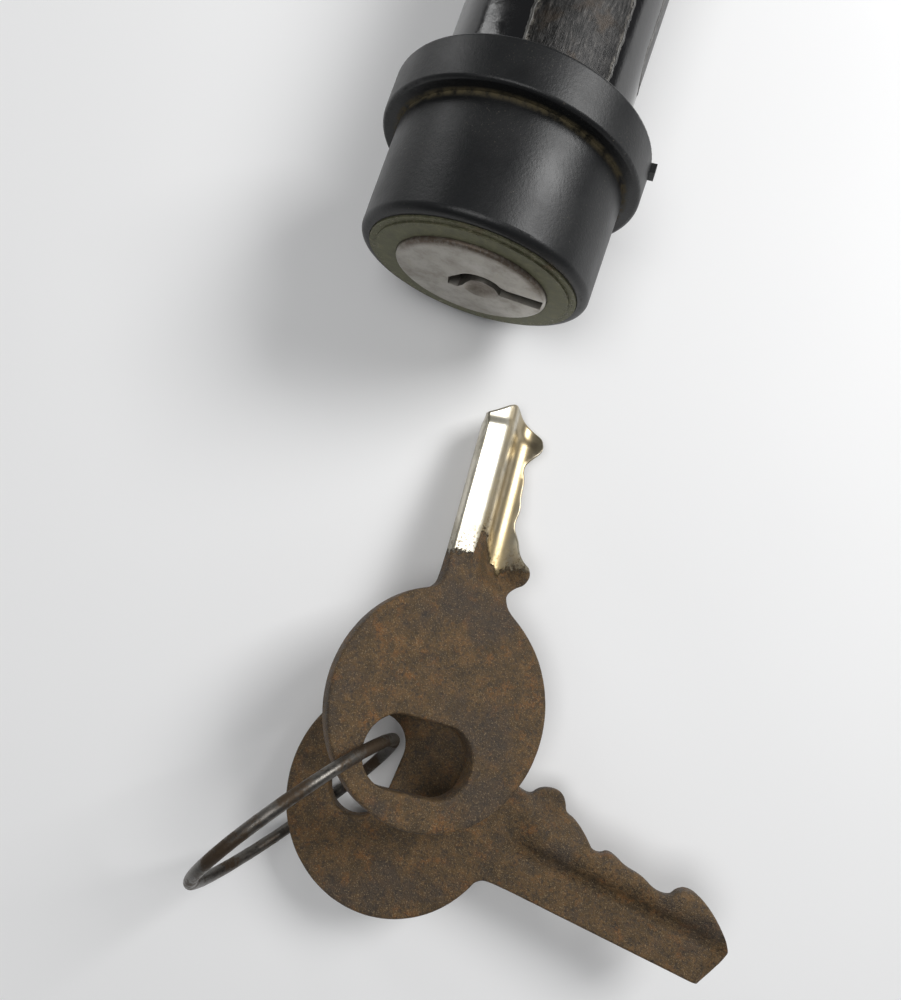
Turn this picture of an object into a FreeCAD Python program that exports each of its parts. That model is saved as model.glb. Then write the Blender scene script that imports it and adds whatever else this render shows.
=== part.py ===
import FreeCAD, Part
import math
import os
from FreeCAD import Placement, Rotation, Vector

# Key-operated lock of a folding parking barrier, with its two keys on a wire ring.
# Frame: the lock's axis is Y and its key face looks along -Y. The origin is on that axis,
# in the plane of the flange's rear face, which seats on the barrier. +Z is up: the lock
# lies on its flange on a table, and the keys lie on the same table in front of it.

DIMENSIONS = {
    # collar moulding
    "FlangeRadius": 12.3, "FlangeThick": 3.9, "CollarRadius": 10.8, "CollarFront": 14.2,
    "LipRound": 0.7, "FlangeRound": 0.35, "NubReach": 0.5, "NubWide": 1.3, "NubLong": 0.9,
    "NubTurn": 80.0,
    # lock tube
    "TubeRadius": 9.0, "TubeSeatRadius": 9.25, "TubeNoseRadius": 8.8, "TubeBore": 7.75,
    "TubeStart": 8.0, "TubeNose": 34.0, "TubeEnd": 46.0,
    # cylinder housing
    "HeadRadius": 9.84, "HeadFace": 14.5, "HeadStep": 0.45, "HeadStepRadius": 9.2,
    "HousingRadius": 7.7, "HousingEnd": 7.0, "PlugBore": 6.45, "CapSeatRadius": 7.25,
    "CapSeatDepth": 1.1, "WaferGrooveReach": 7.1, "WaferGrooveHalf": 3.8,
    # plug and its face
    "PlugRadius": 6.4, "PlugFront": 13.8, "PlugEnd": 7.15, "KeywayEnd": 6.2,
    "BossRadius": 3.4, "BossEnd": 10.2, "CapRadius": 7.2, "CapFace": 14.9,
    "CapRound": 0.3, "DimpleRadius": 3.0, "DimpleDepth": 0.55, "DimpleAcross": 1.1,
    "DimpleRise": -0.75, "TongueSlot": 1.1, "KeywayShift": 3.5, "KeywayLift": 0.25,
    # plug clip
    "ClipRadius": 7.1, "ClipThick": 0.8, "ClipStart": 7.3, "ClipGroove": 2.7,
    # wafers and their springs
    "WaferRadius": 6.3, "WaferThick": 0.9, "WaferHalf": 3.6, "WaferSlot": 1.0,
    "WaferFirst": -11.5, "WaferPitch": 3.0, "WindowTop": 2.7, "WindowBottom": 2.45,
    "WindowEnd": 3.3, "EarTop": 4.75, "EarStart": 1.4, "EarLong": 1.1,
    "SpringRadius": 0.5, "SpringLong": 2.2, "SpringWire": 0.12,
    # drive shaft, cam and balls
    "ShaftRadius": 2.0, "ShaftEnd": 41.0, "TongueThick": 0.95, "TongueStart": 8.4,
    "BushStart": 27.0, "BushEnd": 30.0, "BushBore": 2.05,
    "CageStart": 31.0, "CageEnd": 43.0, "CageBore": 5.45,
    "CamLong": 5.0, "CamShort": 3.7, "CamStart": 35.0, "CamEnd": 41.0,
    "ScrewHeadRadius": 1.8, "ScrewHead": 1.3, "ScrewRadius": 0.8, "ScrewDepth": 5.0,
    "BallRadius": 2.5, "BallPlace": 38.0, "BallOut": 7.8, "BallHole": 2.56,
    # housing pins and end cap
    "PinRadius": 0.75, "PinPlace": 3.5, "PinInner": 6.6, "PinOuter": 8.75,
    "EndCapRadius": 8.8, "EndCapFace": 48.5, "EndCapRound": 1.2,
    # key ring
    "RingRadius": 9.95, "RingWire": 0.55,
    # keys
    "BowRadius": 10.65, "KeyThick": 2.0, "RootStart": 8.0, "RootEnd": 14.6, "RootTop": 6.75,
    "BladeSpine": -3.2, "BladeStart": 12.0, "BladeTip": 34.0, "BladeFlat": 0.8,
}

doc = FreeCAD.newDocument("parking_lock")
sheet = doc.addObject("Spreadsheet::Sheet", "Dims")
for row, (alias, value) in enumerate(DIMENSIONS.items(), start=1):
    sheet.set("A%d" % row, alias)
    sheet.set("B%d" % row, str(value))
    sheet.setAlias("B%d" % row, alias)
doc.recompute()

# Turns a primitive's own Z axis onto the lock's axis.
ALONG_Y = Rotation(Vector(1, 0, 0), -90)
WAFERS = 5
KEY_TURN = 90

# Where the ring stands and the keys lie: see ring_place and lying.
RING_HEADING = 234.95
RING_LEAN = 16.7
RING_ACROSS = 1.0
RING_ALONG = -64.2
KEY_1_LIES = (Vector(9.95, -51.95, -2.8), 93.0, -13.0, 20.0, -1)
KEY_2_LIES = (Vector(9.2, -62.6, -8.7), -4.6, 7.0, 8.0, 1)

# The oval hole in each key's bow: its centre along and across the key, the radius of its
# ends, and how far their centres lie from its own.
KEY_1_HOLE = (-4.7, -1.05, 3.1, 2.15)
KEY_2_HOLE = (-3.75, 1.5, 2.85, 2.05)

# What is cut away over each key's bits: x runs along the key from its bow's centre, y
# across it. A point that stands alone in a list is passed by an arc.
KEY_1_BITTING = [
    (8.6, 12.0), (8.6, 6.3), (9.1, 5.6), (10.0, 4.1), (10.8, 3.6), (11.4, 3.55),
    (12.3, 4.2), [(13.4, 5.05)], (14.4, 4.7), (14.9, 4.3), (15.9, 3.9), (17.2, 3.7),
    (18.6, 3.15), (20.3, 3.4), (21.8, 3.15), (23.5, 3.15), (24.9, 2.7), (26.0, 3.3),
    [(27.4, 3.9)], (28.8, 3.5), (29.5, 2.4), (30.6, 0.3), (30.7, -0.6), (29.4, -2.1),
    (28.4, -3.4), (31.5, -5.0), (36.0, -5.0), (36.0, 12.0),
]
KEY_2_BITTING = [
    (8.6, 12.0), (8.6, 6.5), (9.4, 5.85), (10.8, 5.4), (12.0, 5.3), [(13.3, 6.5)],
    (15.0, 6.55), (15.5, 5.9), (15.8, 5.15), (17.0, 4.9), (18.0, 4.2), (18.9, 3.3),
    (19.8, 3.4), (20.4, 3.8), (21.3, 3.7), (22.2, 3.3), (24.0, 3.2), (25.3, 2.6),
    (26.7, 2.75), [(28.0, 3.75)], (29.4, 3.75), (30.5, 3.1), (31.9, 2.0), (33.1, 0.8),
    (33.5, 0.1), (32.5, -1.8), (31.4, -3.4), (33.5, -5.0), (36.0, -5.0), (36.0, 12.0),
]


def size(alias):
    """Value of one cell of the sheet."""
    return float(sheet.get(alias))


def bind(item, **expressions):
    """Ties properties to the sheet. A word such as TubeRadius stands for its cell."""
    for prop, text in expressions.items():
        item.setExpression(prop.replace("__", "."), linked(text))
    return item


def linked(text):
    """Writes Dims. before each alias in an expression."""
    words = []
    word = ""
    for letter in text + " ":
        if letter.isalnum() or letter == "_":
            word += letter
            continue
        words.append("Dims." + word if word in DIMENSIONS else word)
        words.append(letter)
        word = ""
    return "".join(words).strip()


def rod(name, radius, start, end):
    """Cylinder along the lock's axis, from start to end."""
    item = doc.addObject("Part::Cylinder", name)
    item.Placement = Placement(Vector(), ALONG_Y)
    bind(item, Radius=radius, Height="(%s) - (%s)" % (end, start))
    bind(item, Placement__Base__y=start)
    return item


def block(name, x_range, y_range, z_range):
    """Box given by its ranges along X, Y and Z."""
    item = doc.addObject("Part::Box", name)
    spans = ["(%s) - (%s)" % (high, low) for low, high in (x_range, y_range, z_range)]
    bind(item, Length=spans[0], Width=spans[1], Height=spans[2])
    bind(item, Placement__Base__x=x_range[0], Placement__Base__y=y_range[0])
    bind(item, Placement__Base__z=z_range[0])
    return item


def cut(name, base, *tools):
    """Base less the tools."""
    item = doc.addObject("Part::Cut", name)
    item.Base = base
    item.Tool = tools[0] if len(tools) == 1 else fuse(name + "_tools", *tools)
    return item


def fuse(name, *shapes):
    item = doc.addObject("Part::MultiFuse", name)
    item.Shapes = list(shapes)
    return item


def turned(name, shape, angle):
    """The shape, turned about the lock's axis."""
    item = doc.addObject("Part::Compound", name)
    item.Links = [shape]
    item.Placement = Placement(Vector(), Rotation(Vector(0, 1, 0), angle))
    return item


def common(name, *shapes):
    item = doc.addObject("Part::MultiCommon", name)
    item.Shapes = list(shapes)
    return item


def rounded(name, base, radius, wanted):
    """Rounds the circular edges whose radius and place along Y are in wanted."""
    doc.recompute()
    edges = []
    for number, edge in enumerate(base.Shape.Edges, start=1):
        if not isinstance(edge.Curve, Part.Circle):
            continue
        for edge_radius, place in wanted:
            near = abs(edge.Curve.Radius - size(edge_radius)) < 0.01
            if near and abs(edge.Curve.Center.y - place) < 0.01:
                edges.append((number, size(radius), size(radius)))
    item = doc.addObject("Part::Fillet", name)
    item.Base = base
    item.Edges = edges
    return item


def extruded(name, edges, direction, length):
    """Closed outline of edges, drawn out along a direction."""
    outline = doc.addObject("Part::Feature", name + "_outline")
    outline.Shape = Part.Face(Part.Wire(Part.__sortEdges__(edges)))
    item = doc.addObject("Part::Extrusion", name)
    item.Base = outline
    item.DirMode = "Custom"
    item.Dir = direction
    item.Solid = True
    bind(item, LengthFwd=length)
    return item


def chain(points):
    """Closed run of edges. A point that stands alone in a list is passed by an arc."""
    edges = []
    stops = points + [points[0]]
    place = stops[0]
    through = None
    for stop in stops[1:]:
        if isinstance(stop, list):
            through = stop[0]
            continue
        if through is None:
            edges.append(Part.LineSegment(place, stop).toShape())
        else:
            edges.append(Part.Arc(place, through, stop).toShape())
        place = stop
        through = None
    return edges


# ---- the key's blade in section: y runs from its spine to its bits, z towards its rib ----

def blade_section(play):
    """Corner points of the S-shaped section, grown by play for the keyway."""
    spine = size("BladeSpine")
    bits = 5.4
    half = size("BladeFlat") + play
    top = [(spine - play, half), (0.1, half - 0.2), (0.9 - play, 1.0 + play / 2)]
    rib = [(2.8, 1.9 + play), (4.3 + play, 0.9 + play)]
    end = [(bits + play, -0.5), (bits + play, -1.9 - play), (bits - 0.8, -1.9 - play)]
    under = [(3.7 - play, -0.35), (2.4, 0.95 - play), (1.2 + play / 2, 0.1)]
    flat = [(0.5 + play / 2, -half), (spine - play, -half)]
    return top, rib, end, under, flat


def section_edges(play, place):
    """Edges of that section, each corner put in space by place(y, z)."""
    top, rib, end, under, flat = blade_section(play)
    points = [place(*corner) for corner in top]
    points += [[place(*rib[0])], place(*rib[1])]
    points += [place(*corner) for corner in end]
    points += [place(*under[0]), [place(*under[1])], place(*under[2])]
    points += [place(*corner) for corner in flat]
    return chain(points)


# ---- collar moulding ----

def make_collar():
    body = rod("collar_body", "CollarRadius", "-CollarFront", "0")
    flange = rod("collar_flange", "FlangeRadius", "-FlangeThick", "0")
    nub = block("collar_nub", ("FlangeRadius - 1", "FlangeRadius + NubReach"),
                ("-NubLong - 0.1", "-0.1"), ("-NubWide / 2", "NubWide / 2"))
    outside = rounded("collar_lip", fuse("collar_outside", body, flange), "LipRound",
                      [("CollarRadius", -size("CollarFront"))])
    rim = rounded("collar_rim", outside, "FlangeRound",
                  [("FlangeRadius", -size("FlangeThick")), ("FlangeRadius", 0.0)])
    head_bore = rod("collar_head_bore", "HeadRadius + 0.06", "-CollarFront - 1", "-TubeStart")
    tube_bore = rod("collar_tube_bore", "TubeSeatRadius", "-TubeStart - 1", "1")
    side_nub = turned("collar_nub_turned", nub, size("NubTurn") - 90)
    return cut("collar", fuse("collar_solid", rim, side_nub), head_bore, tube_bore)


# ---- lock tube ----

def make_tube():
    outside = fuse("tube_outside", rod("tube_seat", "TubeSeatRadius", "-TubeStart", "0"),
                   rod("tube_pin", "TubeRadius", "0", "TubeNose"),
                   rod("tube_nose", "TubeNoseRadius", "TubeNose", "TubeEnd"))
    bore = rod("tube_bore", "TubeBore", "-TubeStart - 1", "TubeEnd + 1")
    holes = ball_holes("tube_ball_holes", "TubeRadius + 1")
    pins = pin_holes("tube_pin_holes")
    return cut("lock_tube", outside, bore, holes, pins)


def ball_holes(name, reach):
    """Round hole across the lock, for the ball above the axis and the one below it."""
    hole = doc.addObject("Part::Cylinder", name)
    bind(hole, Radius="BallHole", Height="2 * (%s)" % reach, Placement__Base__y="BallPlace")
    bind(hole, Placement__Base__z="-(%s)" % reach)
    return hole


def pin_holes(name):
    """Round hole across the lock from side to side, for the housing pins."""
    hole = doc.addObject("Part::Cylinder", name)
    hole.Placement = Placement(Vector(), Rotation(Vector(0, 1, 0), 90))
    bind(hole, Radius="PinRadius", Height="4 * TubeRadius", Placement__Base__y="PinPlace")
    bind(hole, Placement__Base__x="-2 * TubeRadius")
    return hole


# ---- cylinder housing ----

def make_housing():
    head = rod("housing_head", "HeadStepRadius", "-HeadFace", "-TubeStart")
    shoulder = rod("housing_shoulder", "HeadRadius", "-HeadFace + HeadStep / 3", "-TubeStart")
    body = rod("housing_body", "HousingRadius", "-TubeStart - 1", "HousingEnd")
    bore = rod("housing_bore", "PlugBore", "-HeadFace - 1", "HousingEnd + 1")
    seat = rod("housing_cap_seat", "CapSeatRadius", "-HeadFace - 1",
               "-HeadFace + CapSeatDepth")
    locked = wafer_groove("housing_groove_locked", 0)
    opened = wafer_groove("housing_groove_open", KEY_TURN)
    pins = pin_holes("housing_pin_holes")
    return cut("cylinder_housing", fuse("housing_solid", head, shoulder, body), bore, seat,
               pins, locked, opened)


def wafer_groove(name, turn):
    """Groove in the bore that the wafers spring into, at one of the plug's key positions."""
    groove = block(name + "_block", ("-WaferGrooveReach", "-4"), ("-HeadFace + 1.5", "2"),
                   ("-WaferGrooveHalf", "WaferGrooveHalf"))
    return turned(name, groove, turn)


def make_housing_pins():
    """Two dowels through the tube into the housing's wall, one each side."""
    pins = pin_holes("pins_through")
    sleeve = cut("pins_sleeve", rod("pins_outer", "PinOuter", "PinPlace - 2", "PinPlace + 2"),
                 rod("pins_inner", "PinInner", "PinPlace - 3", "PinPlace + 3"))
    return common("housing_pins", pins, sleeve)


# ---- plug, its face cap and its clip ----

def keyway(name, start, length):
    """The keyway's S-shaped space, from start along the lock's axis."""
    def place(y, z):
        return Vector(size("KeywayShift") - y, start, z + size("KeywayLift"))
    return extruded(name, section_edges(0.16, place), Vector(0, 1, 0), length)


def make_plug():
    body = rod("plug_body", "PlugRadius", "-PlugFront", "PlugEnd")
    boss = rod("plug_boss", "BossRadius", "PlugEnd - 1", "BossEnd")
    tongue = block("plug_tongue_slot", ("-BossRadius", "BossRadius"),
                   ("TongueStart", "BossEnd + 1"), ("-TongueSlot / 2", "TongueSlot / 2"))
    way = keyway("plug_keyway", -size("PlugFront") - 1, "PlugFront + 1 + KeywayEnd")
    side = block("plug_keyway_side", ("6", "7"), ("-PlugFront - 1", "KeywayEnd"),
                 ("KeywayLift - BladeFlat - 0.16", "KeywayLift + BladeFlat + 0.16"))
    outside = rod("plug_groove_out", "BossRadius + 1", "ClipStart", "ClipStart + ClipThick + 0.1")
    inside = rod("plug_groove_in", "ClipGroove", "ClipStart - 1", "ClipStart + 2")
    groove = cut("plug_clip_groove", outside, inside)
    slots = [wafer_slot(number) for number in range(WAFERS)]
    return cut("plug", fuse("plug_solid", body, boss), tongue, way, side, groove, *slots)


def wafer_place(number):
    return "WaferFirst + %d * WaferPitch" % number


def wafer_slot(number):
    """Slot for one wafer, with the pocket that holds its ear and spring."""
    place = wafer_place(number)
    y_range = ("%s - WaferSlot / 2" % place, "%s + WaferSlot / 2" % place)
    slot = block("plug_slot_%d" % (number + 1), ("-PlugRadius - 1", "PlugRadius + 1"), y_range,
                 ("-WaferHalf - 0.1", "WaferHalf + 0.1"))
    wide = ("%s - SpringRadius - 0.1" % place, "%s + SpringRadius + 0.1" % place)
    pocket = block("plug_pocket_%d" % (number + 1),
                   ("-EarStart - EarLong - 0.75", "-EarStart + SpringLong"), wide,
                   ("WaferHalf", "EarTop + 0.1"))
    return fuse("plug_cut_%d" % (number + 1), slot, pocket)


def make_face_cap():
    disc = rounded("cap_rounded", rod("cap_disc", "CapRadius", "-CapFace", "-PlugFront"),
                   "CapRound", [("CapRadius", -size("CapFace"))])
    way = keyway("cap_keyway", -size("CapFace") - 1, "3")
    dimple = doc.addObject("Part::Sphere", "cap_dimple")
    bind(dimple, Radius="DimpleRadius", Placement__Base__x="DimpleAcross")
    bind(dimple, Placement__Base__y="-CapFace - DimpleRadius + DimpleDepth")
    bind(dimple, Placement__Base__z="DimpleRise")
    return cut("face_cap", disc, way, dimple)


def make_clip():
    """Snap ring in the boss's groove, open to one side, that holds the plug in its housing."""
    ring = rod("clip_disc", "ClipRadius", "ClipStart", "ClipStart + ClipThick")
    hole = rod("clip_hole", "ClipGroove + 0.02", "ClipStart - 1", "ClipStart + 2")
    mouth = block("clip_mouth", ("-ClipRadius - 1", "0"), ("ClipStart - 1", "ClipStart + 2"),
                  ("-ClipGroove * 0.9", "ClipGroove * 0.9"))
    return cut("plug_clip", ring, hole, mouth)


# ---- wafers and springs ----

def make_wafer(number):
    name = "wafer_%d" % (number + 1)
    place = wafer_place(number)
    start = "%s - WaferThick / 2" % place
    end = "%s + WaferThick / 2" % place
    disc = rod(name + "_disc", "WaferRadius", start, end)
    plate = block(name + "_plate", ("-WaferRadius - 1", "WaferRadius + 1"), (start, end),
                  ("-WaferHalf", "WaferHalf"))
    window = block(name + "_window", ("-WindowEnd", "WaferRadius + 1"),
                   ("%s - 1" % start, "%s + 1" % end), ("-WindowBottom", "WindowTop"))
    ear = block(name + "_ear", ("-EarStart - EarLong", "-EarStart"), (start, end),
                ("WaferHalf - 0.5", "EarTop"))
    return cut(name, fuse(name + "_solid", common(name + "_blank", disc, plate), ear), window)


def make_spring(number):
    """Coil spring between the wafer's ear and the end of its pocket in the plug."""
    name = "wafer_spring_%d" % (number + 1)
    wire = size("SpringWire")
    coil = size("SpringRadius") - wire
    long = size("SpringLong") - 2 * wire
    helix = Part.makeHelix(long / 5, long, coil)
    section = Part.Wire([Part.Circle(Vector(coil, 0, 0), Vector(0, 1, 0), wire).toShape()])
    pipe = helix.makePipeShell([section], True, True)
    spring = doc.addObject("Part::Feature", name)
    spring.Shape = pipe
    middle = (size("WaferHalf") + size("EarTop") + 0.1) / 2
    place = size("WaferFirst") + number * size("WaferPitch")
    spring.Placement = Placement(Vector(-size("EarStart") + wire, place, middle),
                                 Rotation(Vector(0, 1, 0), 90))
    return spring


# ---- drive shaft, cam, balls and what carries them ----

def make_shaft():
    shaft = rod("shaft_rod", "ShaftRadius", "BossEnd + 0.2", "CamStart")
    drive = block("shaft_square", ("-ShaftRadius * 0.7", "ShaftRadius * 0.7"),
                  ("CamStart - 1", "ShaftEnd"), ("-ShaftRadius * 0.7", "ShaftRadius * 0.7"))
    tongue = block("shaft_tongue", ("-ShaftRadius", "ShaftRadius"), ("TongueStart + 0.2", "BossEnd + 1"),
                   ("-TongueThick / 2", "TongueThick / 2"))
    tap = rod("shaft_tap", "ScrewRadius", "ShaftEnd - ScrewDepth", "ShaftEnd + 1")
    return cut("drive_shaft", fuse("shaft_solid", shaft, drive, tongue), tap)


def make_cam():
    ellipse = doc.addObject("Part::Ellipse", "cam_outline")
    bind(ellipse, MajorRadius="CamLong", MinorRadius="CamShort")
    # long axis upright, at the balls
    ellipse.Placement = Placement(Vector(0, size("CamStart"), 0),
                                  Rotation(Vector(0, 0, 1), Vector(1, 0, 0), Vector(0, 1, 0)))
    solid = doc.addObject("Part::Extrusion", "cam_solid")
    solid.Base = ellipse
    solid.DirMode = "Custom"
    solid.Dir = Vector(0, 1, 0)
    solid.Solid = True
    bind(solid, LengthFwd="CamEnd - CamStart")
    square = block("cam_square", ("-ShaftRadius * 0.7", "ShaftRadius * 0.7"),
                   ("CamStart - 1", "CamEnd + 1"), ("-ShaftRadius * 0.7", "ShaftRadius * 0.7"))
    return cut("ball_cam", solid, square)


def make_cam_screw():
    head = rod("screw_head", "ScrewHeadRadius", "CamEnd", "CamEnd + ScrewHead")
    stem = rod("screw_stem", "ScrewRadius", "CamEnd - ScrewDepth", "CamEnd + 0.5")
    slot = block("screw_slot", ("-ScrewHeadRadius", "ScrewHeadRadius"),
                 ("CamEnd + ScrewHead / 2", "CamEnd + 2 * ScrewHead"), ("-0.2", "0.2"))
    return cut("cam_screw", fuse("screw_solid", head, stem), slot)


def make_bush():
    return cut("shaft_bush", rod("bush_disc", "TubeBore", "BushStart", "BushEnd"),
               rod("bush_bore", "BushBore", "BushStart - 1", "BushEnd + 1"))


def make_cage():
    return cut("ball_cage", rod("cage_disc", "TubeBore", "CageStart", "CageEnd"),
               rod("cage_bore", "CageBore", "CageStart - 1", "CageEnd + 1"),
               ball_holes("cage_ball_holes", "TubeRadius"))


def make_ball(name, side):
    ball = doc.addObject("Part::Sphere", name)
    bind(ball, Radius="BallRadius", Placement__Base__y="BallPlace")
    bind(ball, Placement__Base__z="%d * BallOut" % side)
    return ball


def make_end_cap():
    disc = rounded("end_cap_rounded", rod("end_cap_disc", "EndCapRadius", "TubeEnd", "EndCapFace"),
                   "EndCapRound", [("EndCapRadius", size("EndCapFace"))])
    spigot = rod("end_cap_spigot", "TubeBore", "CageEnd", "TubeEnd + 0.5")
    hollow = rod("end_cap_hollow", "CageBore", "CageEnd - 1", "TubeEnd - 0.5")
    return cut("end_cap", fuse("end_cap_solid", disc, spigot), hollow)


# ---- key ring and keys ----

def make_ring():
    """Plain wire ring, standing on the table and leaning a little."""
    ring = doc.addObject("Part::Torus", "key_ring")
    ring.Placement = ring_place()
    bind(ring, Radius1="RingRadius", Radius2="RingWire")
    return ring


def make_key(name, placement, bitting, oval):
    """Sheet steel key: round bow with an oval hole, and a pressed blade cut to its bits."""
    def across(y, z):
        return Vector(size("BladeStart"), y, z)
    blade = extruded(name + "_blade", section_edges(0.0, across), Vector(1, 0, 0),
                     "BladeTip - BladeStart")
    root = block(name + "_root", ("RootStart", "RootEnd"), ("BladeSpine", "RootTop"),
                 ("-KeyThick / 2", "KeyThick / 2"))
    bow = doc.addObject("Part::Cylinder", name + "_bow")
    bind(bow, Radius="BowRadius", Height="KeyThick", Placement__Base__z="-KeyThick / 2")
    outline = []
    for point in bitting:
        corner = point[0] if isinstance(point, list) else point
        vector = Vector(corner[0], corner[1], -4)
        outline.append([vector] if isinstance(point, list) else vector)
    waste = extruded(name + "_waste", chain(outline), Vector(0, 0, 1), "8")
    hole = make_key_hole(name, *oval)
    key = cut(name, fuse(name + "_solid", blade, root, bow), waste, hole)
    key.Placement = placement
    return key


def make_key_hole(name, place, side, half, reach):
    """Oval hole across the bow, near the end away from the blade."""
    low = side - reach
    high = side + reach
    points = [Vector(place - half, low, -4), Vector(place - half, high, -4),
              [Vector(place, high + half, -4)], Vector(place + half, high, -4),
              Vector(place + half, low, -4), [Vector(place, low - half, -4)]]
    return extruded(name + "_hole", chain(points), Vector(0, 0, 1), "8")


def lying(centre, heading, tip_rise, bits_drop, bits_side):
    """Place of a key from its bow's centre: heading of its tip, and its two tilts."""
    plan = math.radians(heading)
    rise = math.radians(tip_rise)
    along = Vector(math.cos(plan) * math.cos(rise), math.sin(plan) * math.cos(rise),
                   math.sin(rise))
    level = Vector(-math.sin(plan), math.cos(plan), 0) * bits_side
    upright = level.cross(along) * -bits_side
    drop = math.radians(bits_drop)
    bits = level * math.cos(drop) - upright * math.sin(drop)
    turn = Rotation(along, bits, along.cross(bits), "XYZ")
    return Placement(centre, turn)


def ring_place():
    """Stands the ring on the table, turned to its heading and leaned to one side."""
    plan = math.radians(RING_HEADING)
    lean = math.radians(RING_LEAN)
    along = Vector(math.cos(plan), math.sin(plan), 0)
    side = Vector(math.sin(plan), -math.cos(plan), 0)
    up = Vector(0, 0, 1) * math.cos(lean) + side * math.sin(lean)
    height = size("RingRadius") * math.cos(lean) + size("RingWire") - size("FlangeRadius")
    turn = Rotation(along, up, along.cross(up), "XYZ")
    return Placement(Vector(RING_ACROSS, RING_ALONG, height), turn)


parts = [make_collar(), make_tube(), make_housing(), make_housing_pins(), make_bush(),
         make_cage(), make_end_cap(), make_plug(), make_face_cap(), make_clip(), make_shaft(),
         make_cam(), make_cam_screw(), make_ball("ball_upper", 1), make_ball("ball_lower", -1),
         make_ring(), make_key("key_1", lying(*KEY_1_LIES), KEY_1_BITTING,
                              KEY_1_HOLE),
         make_key("key_2", lying(*KEY_2_LIES), KEY_2_BITTING, KEY_2_HOLE)]
parts += [make_wafer(number) for number in range(WAFERS)]
parts += [make_spring(number) for number in range(WAFERS)]

doc.recompute()
for item in doc.Objects:
    if "Invalid" in item.State or "Error" in item.State:
        raise RuntimeError("%s is in state %s" % (item.Name, item.State))
os.makedirs("parts", exist_ok=True)
for part in parts:
    if part.Shape.isNull() or not part.Shape.isValid() or not part.Shape.Solids:
        raise RuntimeError("%s has no valid solid" % part.Name)
    part.Label = part.Name
    part.Shape.exportStep("parts/%s.step" % part.Label)
    print("%-18s %9.2f mm3, %d solid" % (part.Label, part.Shape.Volume, len(part.Shape.Solids)))
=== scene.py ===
import math
import bmesh
import bpy
import numpy as np
from mathutils import Matrix, Vector, geometry, noise


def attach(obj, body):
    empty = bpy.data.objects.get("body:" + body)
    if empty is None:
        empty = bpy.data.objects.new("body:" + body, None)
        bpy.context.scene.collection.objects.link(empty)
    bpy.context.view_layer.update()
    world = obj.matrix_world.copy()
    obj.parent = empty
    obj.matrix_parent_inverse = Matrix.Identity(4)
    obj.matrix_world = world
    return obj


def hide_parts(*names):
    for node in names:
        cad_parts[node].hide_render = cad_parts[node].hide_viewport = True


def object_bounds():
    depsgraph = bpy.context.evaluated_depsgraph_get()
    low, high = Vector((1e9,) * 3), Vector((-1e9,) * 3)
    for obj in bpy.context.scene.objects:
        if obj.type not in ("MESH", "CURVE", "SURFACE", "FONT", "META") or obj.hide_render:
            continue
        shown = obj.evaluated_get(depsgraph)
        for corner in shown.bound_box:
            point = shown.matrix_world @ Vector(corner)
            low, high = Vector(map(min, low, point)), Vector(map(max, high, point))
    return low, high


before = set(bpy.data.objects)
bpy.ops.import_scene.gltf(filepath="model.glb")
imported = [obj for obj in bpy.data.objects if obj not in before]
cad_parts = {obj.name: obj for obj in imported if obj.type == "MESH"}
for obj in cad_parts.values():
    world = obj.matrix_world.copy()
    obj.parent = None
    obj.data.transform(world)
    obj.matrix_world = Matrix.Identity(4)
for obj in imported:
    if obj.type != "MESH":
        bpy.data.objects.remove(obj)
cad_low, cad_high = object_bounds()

# Key lock of a folding parking barrier, with its two keys on a wire ring.
# The lock's axis is Y and its key face looks along -Y. Lengths in this file are
# millimetres in the frame that the CAD uses, and MM turns them into metres.

MM = 0.001
UP = Vector((0, 0, 1))
TABLE = -12.3

# the lock: its tube, and the middle of the dimple in its face, across and up
TUBE_RADIUS = 9.0
DIMPLE_ACROSS = 1.1
DIMPLE_RISE = -0.75

# a key, measured from its bow's centre: x along the key, y towards its bits, z towards
# the rib of its blade. Between the two press places the flat bow turns into the blade.
BOW_RADIUS = 10.65
BOW_HALF = 1.0
SPINE = -3.2
PRESS_START = 10.6
PRESS_END = 14.2
EDGE_ROUND = 0.24

# each key's oval hole: centre along and across, radius of its ends, and how far the ends'
# centres lie from the hole's centre
KEY_1_HOLE = (-4.7, -1.05, 3.1, 2.15)
KEY_2_HOLE = (-3.75, 1.5, 2.85, 2.05)

# how fine the keys' meshes are: along their edges, over the rest, how deep the two rows of
# points beside the edges lie, and where the rest starts
EDGE_STEP = 0.22
GRID_STEP = 0.27
INSET_DEPTHS = (0.09, 0.2)
GRID_START = 0.3

# the ring: radius of its wire's centre, the wire's own radius, where its centre stands on
# the table, the heading of its plane in degrees from +X, and how far it leans over
RING_RADIUS = 9.95
RING_WIRE = 0.55
RING_PLACE = (1.0, -64.2)
RING_HEADING = 234.95
RING_LEAN = 16.7
RING_TURNS = 220
WIRE_SIDES = 18

# where the tube's coating is worn through: degrees from +Z towards +X, place along the
# lock, half width, half length and corner radius
WORN_PATCHES = [(14.5, 6.4, 4.1, 6.1, 3.2), (95.0, 13.5, 4.2, 7.0, 3.0)]
# shares of each patch's edge where no loose coating stands up
FLAT_STRETCHES = [((0.3, 0.42), (0.7, 0.8)), ((0.1, 0.3), (0.6, 0.68))]


# ---- small helpers ----

def smooth(low, high, value):
    """0 below low, 1 above high, and an S-curve between them. Works on arrays."""
    share = np.clip((np.asarray(value, float) - low) / (high - low), 0.0, 1.0)
    return share * share * (3 - 2 * share)


def collection_link(item):
    bpy.context.scene.collection.objects.link(item)
    return item


def mesh_object(name, points, faces):
    """Smooth-shaded object with this mesh. Points are in millimetres."""
    mesh = bpy.data.meshes.new(name)
    mesh.from_pydata([tuple(c * MM for c in point) for point in points], [], faces)
    mesh.validate()
    mesh.update()
    mesh.polygons.foreach_set("use_smooth", [True] * len(mesh.polygons))
    return collection_link(bpy.data.objects.new(name, mesh))


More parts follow.
